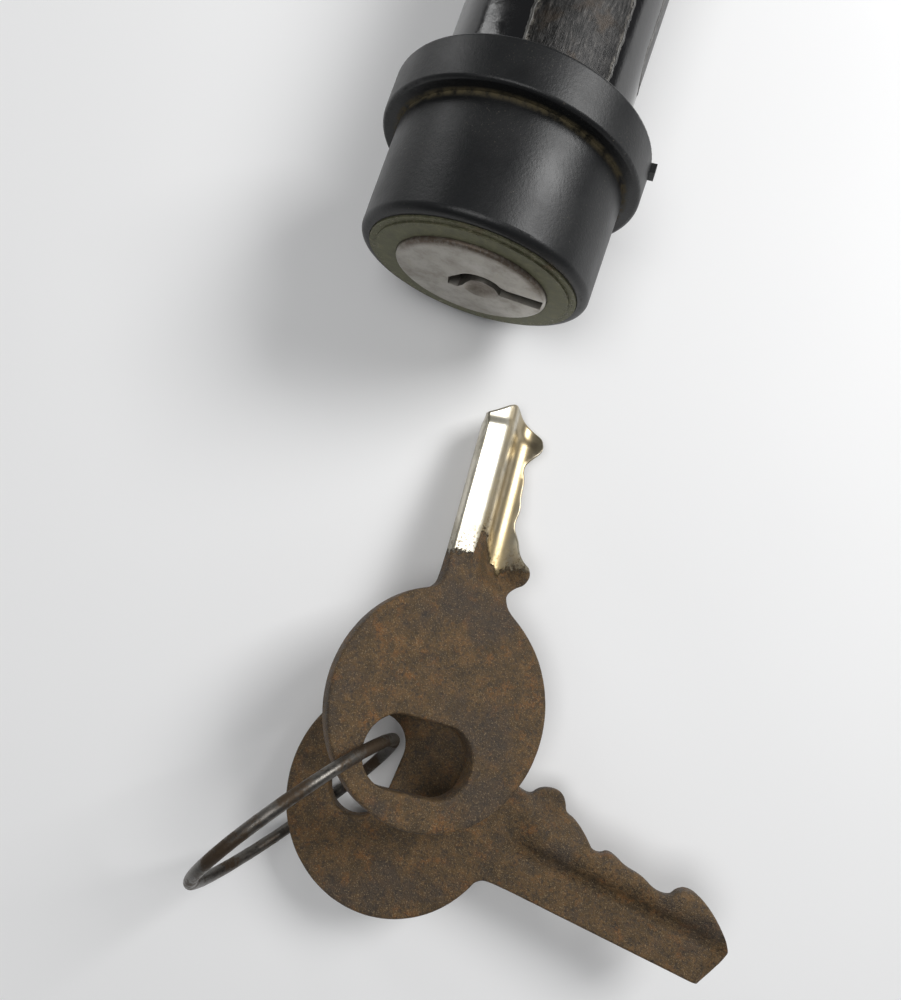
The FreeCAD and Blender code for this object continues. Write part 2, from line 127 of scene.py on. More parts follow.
def wrapped_faces(turns, rounds):
    """Faces of a tube that closes on itself, for points stored turn by turn."""
    count = turns * rounds
    faces = []
    for i in range(turns):
        for j in range(rounds):
            a, b = i * rounds + j, i * rounds + (j + 1) % rounds
            faces.append([a, b, (b + rounds) % count, (a + rounds) % count])
    return faces


def paint(item, name, values):
    """Stores one number per vertex, which the material reads as an attribute."""
    layer = item.data.attributes.new(name, "FLOAT", "POINT")
    layer.data.foreach_set("value", np.asarray(values, np.float32))


def outward(item):
    """Makes every face look out of the closed mesh."""
    shape = bmesh.new()
    shape.from_mesh(item.data)
    bmesh.ops.recalc_face_normals(shape, faces=shape.faces)
    shape.to_mesh(item.data)
    shape.free()
    return item


# ---- materials ----

class Coat:
    """One material: its Principled shader, and short ways to make the nodes that feed it."""

    def __init__(self, name, **sockets):
        self.material = bpy.data.materials.new(name)
        self.material.use_nodes = True
        self.tree = self.material.node_tree
        self.shader = self.tree.nodes["Principled BSDF"]
        coordinates = self.tree.nodes.new("ShaderNodeTexCoord")
        self.place = coordinates.outputs["Object"]
        for socket, value in sockets.items():
            self.shader.inputs[socket.replace("_", " ")].default_value = value

    def node(self, kind, **settings):
        item = self.tree.nodes.new(kind)
        for name, value in settings.items():
            setattr(item, name, value)
        return item

    def feed(self, socket, value):
        """Joins a node's output to an input, or sets the input to a number or colour."""
        if isinstance(value, bpy.types.NodeSocket):
            self.tree.links.new(value, socket)
        else:
            socket.default_value = value

    def set(self, socket, value):
        self.feed(self.shader.inputs[socket], value)

    def noise(self, size, detail=4.0, rough=0.55, stretch=None, place=None):
        """Noise whose lumps are about size millimetres across."""
        item = self.node("ShaderNodeTexNoise")
        item.inputs["Scale"].default_value = 1 / (size * MM)
        item.inputs["Detail"].default_value = detail
        item.inputs["Roughness"].default_value = rough
        source = place or self.place
        if stretch:
            source = self.stretched(source, stretch)
        self.feed(item.inputs["Vector"], source)
        return item.outputs["Fac"]

    def ragged(self, size, detail, rough, amount):
        """Noise about 0 that makes a line wander by up to half of amount either way."""
        return self.times(self.minus(self.noise(size, detail, rough), 0.5), amount)

    def stretched(self, source, scale, turn=(0, 0, 0)):
        """Texture place, scaled by scale and turned by turn, in radians."""
        item = self.node("ShaderNodeMapping")
        item.inputs["Scale"].default_value = scale
        item.inputs["Rotation"].default_value = turn
        self.feed(item.inputs["Vector"], source)
        return item.outputs["Vector"]

    def attribute(self, name):
        """Number that paint stored at the vertices."""
        return self.node("ShaderNodeAttribute", attribute_name=name).outputs["Fac"]

    def math(self, operation, first, second=0.5):
        item = self.node("ShaderNodeMath", operation=operation)
        self.feed(item.inputs[0], first)
        self.feed(item.inputs[1], second)
        return item.outputs[0]

    def times(self, first, second):
        return self.math("MULTIPLY", first, second)

    def plus(self, first, second):
        return self.math("ADD", first, second)

    def minus(self, first, second):
        return self.math("SUBTRACT", first, second)

    def most(self, first, second):
        return self.math("MAXIMUM", first, second)

    def length(self, first, second):
        """Length of the line whose two runs are first and second."""
        squares = self.plus(self.math("POWER", first, 2.0), self.math("POWER", second, 2.0))
        return self.math("SQRT", squares)

    def between(self, value, low, high, to_low=0.0, to_high=1.0):
        """Carries low..high of value smoothly to to_low..to_high."""
        item = self.node("ShaderNodeMapRange", interpolation_type="SMOOTHSTEP")
        self.feed(item.inputs["Value"], value)
        ends = {"From Min": low, "From Max": high, "To Min": to_low, "To Max": to_high}
        for name, number in ends.items():
            item.inputs[name].default_value = number
        return item.outputs["Result"]

    def ramp(self, value, *stops):
        """Colour for a value, from (place, colour) stops."""
        item = self.node("ShaderNodeValToRGB")
        ramp = item.color_ramp
        while len(ramp.elements) < len(stops):
            ramp.elements.new(0.5)
        for element, (place, colour) in zip(ramp.elements, stops):
            element.position = place
            element.color = (*colour, 1.0)
        self.feed(item.inputs["Fac"], value)
        return item.outputs["Color"]

    def blend(self, share, first, second):
        """Colour between first and second."""
        item = self.node("ShaderNodeMix", data_type="RGBA")
        self.feed(item.inputs["Factor"], share)
        for socket, colour in (("A", first), ("B", second)):
            fed = isinstance(colour, bpy.types.NodeSocket)
            self.feed(item.inputs[socket], colour if fed else (*colour, 1.0))
        return item.outputs["Result"]

    def level(self, share, first, second):
        """Number between first and second."""
        item = self.node("ShaderNodeMix", data_type="FLOAT")
        self.feed(item.inputs["Factor"], share)
        self.feed(item.inputs["A"], first)
        self.feed(item.inputs["B"], second)
        return item.outputs["Result"]

    def axes(self):
        """X, Y and Z of the surface point, in millimetres."""
        item = self.node("ShaderNodeSeparateXYZ")
        self.feed(item.inputs["Vector"], self.place)
        return [self.times(output, 1 / MM) for output in item.outputs]

    def bump(self, *layers):
        """Layers of (height, depth in millimetres), one over another."""
        normal = None
        for height, depth in layers:
            item = self.node("ShaderNodeBump")
            item.inputs["Strength"].default_value = 1.0
            item.inputs["Distance"].default_value = depth * MM
            self.feed(item.inputs["Height"], height)
            if normal is not None:
                self.feed(item.inputs["Normal"], normal)
            normal = item.outputs["Normal"]
        self.set("Normal", normal)


def collar_plastic():
    """Black moulded plastic: fine grain, dust, and grime where the body meets the flange."""
    coat = Coat("collar_plastic", Roughness=0.42, IOR=1.46, Specular_IOR_Level=0.4)
    grain = coat.noise(0.32, detail=2.0, rough=0.6)
    fine = coat.noise(0.11, detail=1.0)
    cloud = coat.noise(5.0, detail=5.0, rough=0.6)
    speck = coat.between(coat.noise(0.14, detail=3.0, rough=0.75), 0.62, 0.7)
    specks = coat.times(speck, coat.between(cloud, 0.42, 0.62))
    across, along, rise = coat.axes()
    radius = coat.length(across, rise)
    near_corner = coat.between(along, -4.5, -3.95)
    on_body = coat.between(radius, 10.95, 11.35, 1.0, 0.0)
    patchy = coat.between(coat.noise(1.3, detail=5.0, rough=0.7), 0.34, 0.6)
    corner = coat.times(coat.times(near_corner, on_body), patchy)
    black = coat.ramp(cloud, (0.3, (0.0055, 0.006, 0.0065)), (0.7, (0.0095, 0.01, 0.0105)))
    dusty = coat.blend(coat.times(specks, 0.55), black, (0.16, 0.14, 0.11))
    coat.set("Base Color", coat.blend(coat.times(corner, 0.75), dusty, (0.13, 0.105, 0.055)))
    rough = coat.between(cloud, 0.3, 0.7, 0.36, 0.46)
    coat.set("Roughness", coat.level(corner, rough, 0.85))
    coat.bump((grain, 0.016), (fine, 0.006))
    return coat.material


def tube_coating():
    """Glossy black coating, worn through to scuffed dark steel in two patches."""
    coat = Coat("tube_coating", Roughness=0.1, IOR=1.5)
    across, along, rise = coat.axes()
    turn = coat.math("ARCTAN2", across, rise)
    ragged = coat.ragged(0.9, 6.0, 0.72, 1.5)
    worn, rim = None, None
    for patch in WORN_PATCHES:
        gap = coat.plus(patch_gap(coat, turn, along, *patch), ragged)
        inside = coat.between(gap, -0.12, 0.12, 1.0, 0.0)
        within = coat.between(gap, -0.45, -0.1)
        edge = coat.times(within, coat.between(gap, 0.0, 0.2, 1.0, 0.0))
        worn = inside if worn is None else coat.most(worn, inside)
        rim = edge if rim is None else coat.most(rim, edge)
    cloud = coat.noise(3.0, detail=6.0, rough=0.65)
    scuffs = coat.noise(0.5, detail=6.0, rough=0.75, stretch=(2.6, 0.45, 2.6))
    scratch = coat.noise(0.3, detail=3.0, rough=0.7,
                         place=coat.stretched(coat.place, (4.0, 0.3, 1.0), (0.5, 0.3, 0.9)))
    steel = coat.ramp(scuffs, (0.4, (0.008, 0.008, 0.008)), (0.56, (0.03, 0.029, 0.028)),
                      (0.68, (0.1, 0.095, 0.09)), (0.8, (0.34, 0.33, 0.31)))
    stain = coat.blend(coat.between(cloud, 0.5, 0.66, 0.0, 0.5), steel, (0.04, 0.028, 0.018))
    black = coat.blend(coat.between(coat.noise(0.25, detail=4.0, rough=0.8), 0.7, 0.76, 0.0, 0.4),
                       (0.0055, 0.0055, 0.006), (0.07, 0.065, 0.06))
    base = coat.blend(worn, black, stain)
    broken = coat.between(coat.noise(0.7, detail=4.0), 0.42, 0.56)
    coat.set("Base Color", coat.blend(coat.times(rim, broken), base, (0.13, 0.12, 0.105)))
    coat.set("Metallic", coat.times(worn, 0.7))
    rough_steel = coat.between(scuffs, 0.3, 0.7, 0.3, 0.5)
    rough_black = coat.between(cloud, 0.35, 0.7, 0.07, 0.2)
    coat.set("Roughness", coat.level(worn, rough_black, rough_steel))
    marks = coat.times(scratch, coat.plus(coat.times(worn, 0.9), 0.1))
    coat.bump((worn, -0.06), (marks, 0.03), (coat.noise(0.9, detail=3.0), 0.012))
    return coat.material


def patch_gap(coat, turn, along, centre, middle, half_wide, half_long, corner):
    """Distance in millimetres outside a round-cornered patch of the tube's surface."""
    aside = coat.times(coat.minus(turn, math.radians(centre)), TUBE_RADIUS)
    over_wide = coat.minus(coat.math("ABSOLUTE", aside), half_wide - corner)
    over_long = coat.minus(coat.math("ABSOLUTE", coat.minus(along, middle)),
                          half_long - corner)
    beyond = coat.length(coat.most(over_wide, 0.0), coat.most(over_long, 0.0))
    return coat.minus(beyond, corner)


def zinc():
    """Die-cast zinc under a dull olive film, chipped and scraped round its outer band."""
    coat = Coat("zinc", Metallic=0.55, Roughness=0.5)
    across, _, rise = coat.axes()
    radius = coat.length(across, rise)
    wander = coat.ragged(1.6, 5.0, 0.7, 1.4)
    band = coat.between(coat.plus(radius, wander), 8.75, 9.15)
    mottle = coat.noise(0.9, detail=7.0, rough=0.7)
    chips = coat.between(coat.noise(0.42, detail=5.0, rough=0.75), 0.52, 0.62)
    film = coat.ramp(mottle, (0.3, (0.08, 0.08, 0.044)), (0.5, (0.13, 0.13, 0.077)),
                     (0.72, (0.2, 0.195, 0.12)))
    bare = coat.ramp(mottle, (0.35, (0.11, 0.1, 0.06)), (0.7, (0.3, 0.28, 0.19)))
    scraped = coat.times(band, chips)
    brown = coat.between(coat.noise(2.2, detail=4.0), 0.6, 0.72, 0.0, 0.6)
    stained = coat.blend(coat.times(brown, band), film, (0.1, 0.065, 0.03))
    coat.set("Base Color", coat.blend(coat.times(scraped, 0.8), stained, bare))
    coat.set("Roughness", coat.level(scraped, coat.between(mottle, 0.3, 0.7, 0.5, 0.66), 0.36))
    fine = coat.noise(0.15, detail=2.0)
    coat.bump((coat.times(scraped, -1.0), 0.05), (mottle, 0.03), (fine, 0.008))
    return coat.material


def nickel_face():
    """Nickel-plated face, dulled, darker brown towards the top of its rim, with painted shade darkening
    the dimple.
    """
    coat = Coat("nickel_face", Metallic=0.85, Roughness=0.4)
    across, _, rise = coat.axes()
    radius = coat.length(across, rise)
    blotch = coat.noise(2.4, detail=7.0, rough=0.68)
    fine = coat.noise(0.35, detail=5.0, rough=0.7)
    plate = coat.ramp(blotch, (0.32, (0.27, 0.25, 0.215)), (0.5, (0.37, 0.35, 0.315)),
                      (0.7, (0.47, 0.455, 0.425)))
    yellow = coat.blend(coat.between(coat.noise(1.2, detail=6.0, rough=0.7), 0.55, 0.72, 0.0, 0.5), plate,
                        (0.24, 0.2, 0.12))
    # darker brown in a band at the top of the face's rim
    top = coat.times(coat.between(radius, 6.2, 7.1), coat.between(rise, 0.5, 4.5))
    # painted shade: the dimple's hollow is darkened to dark brown in the base colour
    from_dimple = coat.length(coat.minus(across, DIMPLE_ACROSS), coat.minus(rise, DIMPLE_RISE))
    dimple_shade = coat.between(from_dimple, 1.1, 1.9, 1.0, 0.0)
    # one mask holds the darker upper rim and the painted dimple shade, and also roughens both
    rim_darkening_and_dimple_shade = coat.most(coat.times(top, 0.8), coat.times(dimple_shade, 0.55))
    rim_darkened_and_dimple_shaded = coat.blend(coat.times(rim_darkening_and_dimple_shade, coat.between(fine, 0.3, 0.6, 0.6, 1.0)), yellow,
                       (0.075, 0.045, 0.026))
    coat.set("Base Color", rim_darkened_and_dimple_shaded)
    coat.set("Roughness", coat.level(rim_darkening_and_dimple_shade, coat.between(blotch, 0.3, 0.7, 0.48, 0.36), 0.62))
    coat.bump((fine, 0.01), (coat.noise(0.12, detail=2.0), 0.004))
    return coat.material


def key_metal(name):
    """Nickel-plated steel key. The attribute rust is below 0 on plating, and above 0 on rust."""
    coat = Coat(name, Metallic=1.0, Roughness=0.4)
    field = coat.attribute("rust")
    border = coat.plus(field, coat.ragged(0.7, 6.0, 0.75, 3.2))
    rusty = coat.between(border, -0.25, 0.3)
    broad = coat.noise(5.0, detail=6.0, rough=0.6)
    middle = coat.noise(1.3, detail=7.0, rough=0.68)
    fine = coat.noise(0.28, detail=4.0, rough=0.75)
    grain = coat.noise(0.12, detail=2.0, rough=0.7)
    brown = coat.ramp(middle, (0.28, (0.035, 0.022, 0.01)), (0.44, (0.075, 0.046, 0.019)),
                      (0.56, (0.108, 0.063, 0.024)), (0.7, (0.16, 0.085, 0.03)))
    orange = coat.blend(coat.between(coat.noise(1.6, detail=8.0, rough=0.75), 0.52, 0.68, 0.0, 0.7), brown,
                        (0.2, 0.085, 0.021))
    purple = coat.blend(coat.between(broad, 0.48, 0.64, 0.0, 0.6), orange, (0.04, 0.032, 0.027))
    dark = coat.blend(coat.between(fine, 0.38, 0.5, 0.7, 0.0), purple, (0.016, 0.01, 0.006))
    spark = coat.between(grain, 0.56, 0.68)
    pale = coat.times(spark, coat.between(fine, 0.38, 0.52))
    rust = coat.blend(coat.times(pale, 0.6), dark, (0.34, 0.25, 0.14))
    tarnish = coat.noise(2.2, detail=6.0, rough=0.65)
    plate = coat.ramp(tarnish, (0.34, (0.4, 0.37, 0.29)), (0.52, (0.6, 0.565, 0.47)),
                      (0.68, (0.72, 0.69, 0.6)))
    near = coat.between(border, -3.6, -0.2)
    spots = coat.times(coat.between(fine, 0.52, 0.62), near)
    grey = coat.blend(coat.times(near, 0.45), plate, (0.22, 0.2, 0.17))
    pocked = coat.blend(coat.times(spots, 0.8), grey, (0.11, 0.07, 0.035))
    groove = coat.attribute("groove")
    golden = coat.blend(coat.times(groove, 0.8), pocked, (0.34, 0.25, 0.11))
    coat.set("Base Color", coat.blend(rusty, golden, rust))
    coat.set("Metallic", coat.level(rusty, 1.0, 0.12))
    plated = coat.plus(coat.between(tarnish, 0.3, 0.7, 0.42, 0.3), coat.times(spots, 0.3))
    coat.set("Roughness", coat.level(rusty, plated, coat.between(fine, 0.35, 0.65, 0.5, 0.8)))
    crust = coat.times(coat.plus(fine, middle), rusty)
    coat.bump((crust, 0.11), (coat.times(grain, coat.plus(rusty, 0.06)), 0.04))
    return coat.material


def ring_steel():
    """Dark oiled spring wire with brown rust films."""
    coat = Coat("ring_steel", Metallic=0.9, Roughness=0.38)
    broad = coat.noise(4.0, detail=5.0)
    fine = coat.noise(0.4, detail=6.0, rough=0.7)
    grey = coat.ramp(fine, (0.3, (0.075, 0.07, 0.063)), (0.6, (0.16, 0.15, 0.135)),
                     (0.78, (0.28, 0.265, 0.24)))
    brown = coat.between(coat.plus(broad, coat.times(fine, 0.5)), 0.7, 0.86, 0.0, 0.85)
    coat.set("Base Color", coat.blend(brown, grey, (0.07, 0.045, 0.025)))
    coat.set("Roughness", coat.level(brown, coat.between(fine, 0.3, 0.7, 0.28, 0.45), 0.65))
    coat.bump((fine, 0.03), (coat.noise(0.14, detail=3.0), 0.012))
    return coat.material


def plain_metal(name, low, high, roughness, grain_depth=0.012):
    """Machined or pressed metal: two tones, fine marks and a little dirt."""
    coat = Coat(name, Metallic=1.0, Roughness=roughness)
    cloud = coat.noise(1.8, detail=6.0, rough=0.65)
    marks = coat.noise(0.16, detail=4.0, rough=0.7)
    tone = coat.ramp(cloud, (0.32, low), (0.68, high))
    dirt = coat.between(coat.noise(0.6, detail=6.0, rough=0.75), 0.58, 0.7, 0.0, 0.5)
    coat.set("Base Color", coat.blend(dirt, tone, tuple(0.3 * c for c in low)))
    clean = coat.between(marks, 0.3, 0.7, roughness - 0.08, roughness + 0.1)
    coat.set("Roughness", coat.plus(clean, coat.times(dirt, 0.3)))
    coat.bump((marks, grain_depth))
    return coat.material


def plain_plastic(name, low, high, roughness):
    """Moulded plastic: slight mottling, a fine grain and a few scuffs."""
    coat = Coat(name, Roughness=roughness, IOR=1.49)
    cloud = coat.noise(2.5, detail=5.0)
    grain = coat.noise(0.2, detail=2.0)
    scuff = coat.between(coat.noise(0.5, detail=6.0, rough=0.8), 0.66, 0.74, 0.0, 0.4)
    tone = coat.ramp(cloud, (0.3, low), (0.7, high))
    coat.set("Base Color", coat.blend(scuff, tone, tuple(min(1.0, 2.5 * c + 0.05) for c in high)))
    coat.set("Roughness", coat.between(cloud, 0.3, 0.7, roughness - 0.05, roughness + 0.08))
    coat.bump((grain, 0.012))
    return coat.material


def floor_paint():
    """Pale matte studio floor."""
    coat = Coat("floor_paint", Roughness=0.9, Specular_IOR_Level=0.1)
    soft = coat.noise(60.0, detail=2.0)
    coat.set("Base Color", coat.ramp(soft, (0.3, (0.86, 0.86, 0.86)), (0.7, (0.88, 0.88, 0.88))))
    return coat.material


# ---- keys ----

# each key's cut edge, from the bow past the bits and round the tip to the spine
KEY_1_BITS = [
    (8.6, 6.3), (9.1, 5.6), (10.0, 4.1), (10.8, 3.6), (11.4, 3.55), (12.3, 4.2), (12.7, 4.75),
    (13.4, 5.05), (14.0, 4.98), (14.4, 4.7), (14.9, 4.3), (15.9, 3.9), (17.2, 3.7), (18.6, 3.15),
    (20.3, 3.4), (21.8, 3.15), (23.5, 3.15), (24.9, 2.7), (26.0, 3.3), (26.6, 3.72), (27.4, 3.9),
    (28.2, 3.8), (28.8, 3.5), (29.5, 2.4), (30.6, 0.3), (30.7, -0.6), (29.4, -2.1), (28.6, -3.2),
]
KEY_2_BITS = [
    (8.6, 6.5), (9.4, 5.85), (10.8, 5.4), (12.0, 5.3), (12.5, 6.05), (13.3, 6.5), (14.3, 6.7),
    (15.0, 6.55), (15.5, 5.9), (15.8, 5.15), (17.0, 4.9), (18.0, 4.2), (18.9, 3.3), (19.8, 3.4),
    (20.4, 3.8), (21.3, 3.7), (22.2, 3.3), (24.0, 3.2), (25.3, 2.6), (26.7, 2.75), (27.2, 3.4),
    (28.0, 3.75), (28.7, 3.85), (29.4, 3.75), (30.5, 3.1), (31.9, 2.0), (33.1, 0.8), (33.5, 0.1),
    (32.5, -1.8), (31.6, -3.2),
]


def rounded_line(points, turns=2):
    """Cuts the corners of an open line, keeping its two ends."""
    for _ in range(turns):
        cut = [points[0]]
        for first, second in zip(points, points[1:]):
            cut.append(first * 0.75 + second * 0.25)
            cut.append(first * 0.25 + second * 0.75)
        points = cut + [points[-1]]
    return points


def spread(points, step):
    """Points about step apart along a closed line."""
    line = np.array(points)
    ring = np.vstack([line, line[:1]])
    runs = np.linalg.norm(np.diff(ring, axis=0), axis=1)
    gone = np.concatenate([[0.0], np.cumsum(runs)])
    places = np.linspace(0, gone[-1], max(8, int(round(gone[-1] / step))), endpoint=False)
    return np.stack([np.interp(places, gone, ring[:, axis]) for axis in (0, 1)], axis=1)


def arc(centre, radius, start, end, count):
    """Points of an arc from start to end, in degrees."""
    turns = np.radians(np.linspace(start, end, count))
    return [Vector((centre[0] + radius * math.cos(t), centre[1] + radius * math.sin(t))) for t in turns]


def key_outline(bits):
    """The key's edge, once round: bits, tip, spine, neck and bow."""
    bits = rounded_line([Vector(point) for point in bits])
    spine_start = math.sqrt(BOW_RADIUS ** 2 - SPINE ** 2)
    spine = [Vector((spine_start + ahead, SPINE)) for ahead in (16, 12, 8, 4)]
    neck = [Vector((x, SPINE - drop)) for x, drop in ((13.2, 0), (11.4, 0), (10.5, 0.12), (9.95, 0.62))]
    low, high = (math.degrees(math.atan2(point.y, point.x)) for point in (neck[-1], bits[0]))
    bow = arc((0, 0), BOW_RADIUS, low - 1, high + 2 - 360, 160)
    return spread(bits + spine + rounded_line(neck) + bow, EDGE_STEP)


def key_hole(along, side, half, reach):
    """The oval hole's edge."""
    top = arc((along, side + reach), half, 0, 180, 30)
    bottom = arc((along, side - reach), half, 180, 360, 30)
    return spread(top + bottom, EDGE_STEP)


def inside(points, loop):
    """True for each point that lies within the closed loop."""
    x, y = points[:, :1], points[:, 1:]
    ax, ay = loop[:, 0], loop[:, 1]
    bx, by = np.roll(ax, -1), np.roll(ay, -1)
    straddles = (ay > y) != (by > y)
    with np.errstate(divide="ignore", invalid="ignore"):
        crossing = ax + (y - ay) * (bx - ax) / (by - ay)
    return (straddles & (x < crossing)).sum(axis=1) % 2 == 1


def gap_to(points, loop):
    """Distance from each point to the closed loop."""
    first, second = loop, np.roll(loop, -1, axis=0)
    run = second - first
    best = np.full(len(points), np.inf)
    for start, way in zip(first, run):
        share = np.clip(((points - start) @ way) / (way @ way), 0, 1)
        best = np.minimum(best, np.linalg.norm(points - start - share[:, None] * way, axis=1))
    return best


def in_sheet(points, edge, hole):
    """True for each point within the key's edge and outside its hole."""
    return inside(points, edge) & ~inside(points, hole)


def edge_gap(points, edge, hole):
    """Distance from each point to the key's edge or its hole, whichever is nearer."""
    return np.minimum(gap_to(points, edge), gap_to(points, hole))


def inset(loop, depth, edge, hole):
    """Row of points in the sheet, about depth away from one of its two loops."""
    way = np.roll(loop, -1, axis=0) - np.roll(loop, 1, axis=0)
    way /= np.linalg.norm(way, axis=1)[:, None]
    across = np.stack([-way[:, 1], way[:, 0]], axis=1)
    row = loop + across * depth
    if in_sheet(row, edge, hole).mean() < 0.5:
        row = loop - across * depth
    clear = edge_gap(row, edge, hole) > depth * 0.8
    return row[clear & in_sheet(row, edge, hole)]


def key_plan(edge, hole):
    """Points and triangles of the flat key, closer together beside its edges."""
    rows = [edge, hole]
    for depth in INSET_DEPTHS:
        rows += [inset(loop, depth, edge, hole) for loop in (edge, hole)]
    xs, ys = np.arange(-11, 34, GRID_STEP), np.arange(-11, 11, GRID_STEP)
    grid = np.stack(np.meshgrid(xs, ys), axis=-1).reshape(-1, 2)
    grid[:, 0] += np.where(np.round(grid[:, 1] / GRID_STEP) % 2 > 0, GRID_STEP / 2, 0)
    grid = grid[in_sheet(grid, edge, hole)]
    grid = grid[edge_gap(grid, edge, hole) > GRID_START]
    borders, start = [], 0
    for loop in (edge, hole):
        count = len(loop)
        borders += [(start + i, start + (i + 1) % count) for i in range(count)]
        start += count
    flat = [Vector(point) for point in np.vstack(rows + [grid])]
    spots, _, triangles = geometry.delaunay_2d_cdt(flat, borders, [], 0, 1e-5)[:3]
    points = np.array([tuple(spot) for spot in spots])
    faces = [list(face) for face in triangles]
    middles = np.array([points[face].mean(axis=0) for face in faces])
    return points, [face for face, kept in zip(faces, in_sheet(middles, edge, hole)) if kept]


def sheet_faces(faces, count):
    """Faces of the closed sheet: both sides, and the walls round its edge and hole."""
    under = [[i + count for i in reversed(face)] for face in faces]
    ways = dict.fromkeys(way for face in faces for way in zip(face, face[1:] + face[:1]))
    walls = [[b, a, a + count, b + count] for a, b in ways if (b, a) not in ways]
    return faces + under + walls


def arc_height(y, first, through, last):
    """Height at y of the circle through three points, on the middle point's side."""
    (ax, ay), (bx, by), (cx, cy) = first, through, last
    a_square, b_square, c_square = ax * ax + ay * ay, bx * bx + by * by, cx * cx + cy * cy
    share = 2 * (ax * (by - cy) + bx * (cy - ay) + cx * (ay - by))
    middle = (a_square * (by - cy) + b_square * (cy - ay) + c_square * (ay - by)) / share
    height = (a_square * (cx - bx) + b_square * (ax - cx) + c_square * (bx - ax)) / share
    radius = math.hypot(ax - middle, ay - height)
    side = 1 if by > height else -1
    return height + side * np.sqrt(np.maximum(radius ** 2 - (y - middle) ** 2, 0))


def blade_top(y):
    """Height of the blade's rib side across it: flat, then a round rib, then the bits."""
    flat = np.interp(y, [-3.2, 0.1, 0.9, 4.3, 5.4, 7.0], [0.8, 0.6, 1.0, 0.9, -0.5, -0.5])
    rib = arc_height(y, (0.9, 1.0), (2.8, 1.9), (4.3, 0.9))
    return np.where((y > 0.9) & (y < 4.3), rib, flat)


def blade_underside(y):
    """Height of the blade's groove side across it: flat, a step, then the round groove."""
    flat = np.interp(y, [-3.2, -0.95, -0.82, -0.7, -0.2, 0.45, 3.7, 4.6, 7.0],
                     [-0.8, -0.8, -0.66, -0.76, -0.6, -0.02, -0.35, -1.9, -1.9])
    groove = arc_height(y, (3.7, -0.35), (2.1, 0.75), (0.45, -0.02))
    return np.where((y > 0.45) & (y < 3.7), groove, flat)


def key_heights(flat, gap):
    """Top and underside of the sheet at each point of its plan, with rounded edges."""
    x, y = flat[:, 0], flat[:, 1]
    pressed = smooth(PRESS_START, PRESS_END, x)
    top = BOW_HALF + (blade_top(y) - BOW_HALF) * pressed
    low = -BOW_HALF + (blade_underside(y) + BOW_HALF) * pressed
    near = np.minimum(gap, EDGE_ROUND)
    drop = EDGE_ROUND - np.sqrt(np.maximum(EDGE_ROUND ** 2 - (EDGE_ROUND - near) ** 2, 0))
    return top - drop, low + drop


def lying(centre, heading, tip_rise, bits_drop, bits_side):
    """Place of a key: its bow's centre, its tip's heading, and its two tilts, in degrees."""
    plan, rise, drop = math.radians(heading), math.radians(tip_rise), math.radians(bits_drop)
    along = Vector((math.cos(plan) * math.cos(rise), math.sin(plan) * math.cos(rise), math.sin(rise)))
    level = Vector((-math.sin(plan), math.cos(plan), 0)) * bits_side
    upright = level.cross(along) * -bits_side
    bits = level * math.cos(drop) - upright * math.sin(drop)
    turn = Matrix((along, bits, along.cross(bits))).transposed().to_4x4()
    return Matrix.Translation(Vector(centre)) @ turn


def pitting(points, seed, size):
    """Fractal noise at each point, about -1 to 1."""
    shift = Vector((seed * 17.3, seed * 5.1, seed * 9.7))
    return np.array([noise.fractal(Vector(p) / size + shift, 1.0, 2.0, 4) for p in points])


def key_piece(name, bits, oval, place, seed, plated_from, tip_bevel):
    """One key. Rust gives way to plating at plated_from, and the tip thins from tip_bevel on."""
    edge, hole = key_outline(bits), key_hole(*oval)
    points, faces = key_plan(edge, hole)
    top, low = key_heights(points, edge_gap(points, edge, hole))
    rust = plated_from - points[:, 0] - band_start(points[:, 1])
    surface = np.column_stack([points, top])
    pits = pitting(surface, seed, 0.9) * 0.035 + pitting(surface, seed + 1, 3.5) * 0.03
    share = smooth(-1.5, 0.5, rust)
    top = top - np.maximum(pits * share, -0.01)
    low = low + np.maximum(pits[::-1] * share, -0.01)
    bevel = smooth(tip_bevel, tip_bevel + 1.1, points[:, 0] + 0.25 * np.abs(points[:, 1] + 0.4))
    thick = top - low
    top = top - bevel * thick * 0.38
    low = low + bevel * thick * 0.2
    body = np.vstack([np.column_stack([points, top]), np.column_stack([points, low])])
    placed = [place @ Vector(point) for point in body]
    item = mesh_object(name, placed, sheet_faces(faces, len(points)))
    paint(item, "rust", np.tile(rust, 2))
    paint(item, "groove", np.tile(groove_film(points[:, 1]), 2))
    return outward(item)


def groove_film(y):
    """How golden or olive the plating is across the blade."""
    return np.interp(y, [-1.0, -0.85, -0.2, -0.05, 0.4, 0.6, 2.6, 3.6],
                     [0.0, 0.7, 0.6, 0.0, 0.0, 0.7, 1.0, 0.3])


def band_start(y):
    """How much earlier along the key the plating starts, across its bands."""
    return np.interp(y, [-3.2, -1.0, -0.7, 0.3, 1.2, 2.5, 3.1],
                     [0.3, 0.0, -3.0, -2.2, -0.9, 0.9, -0.2])


# ---- key ring ----

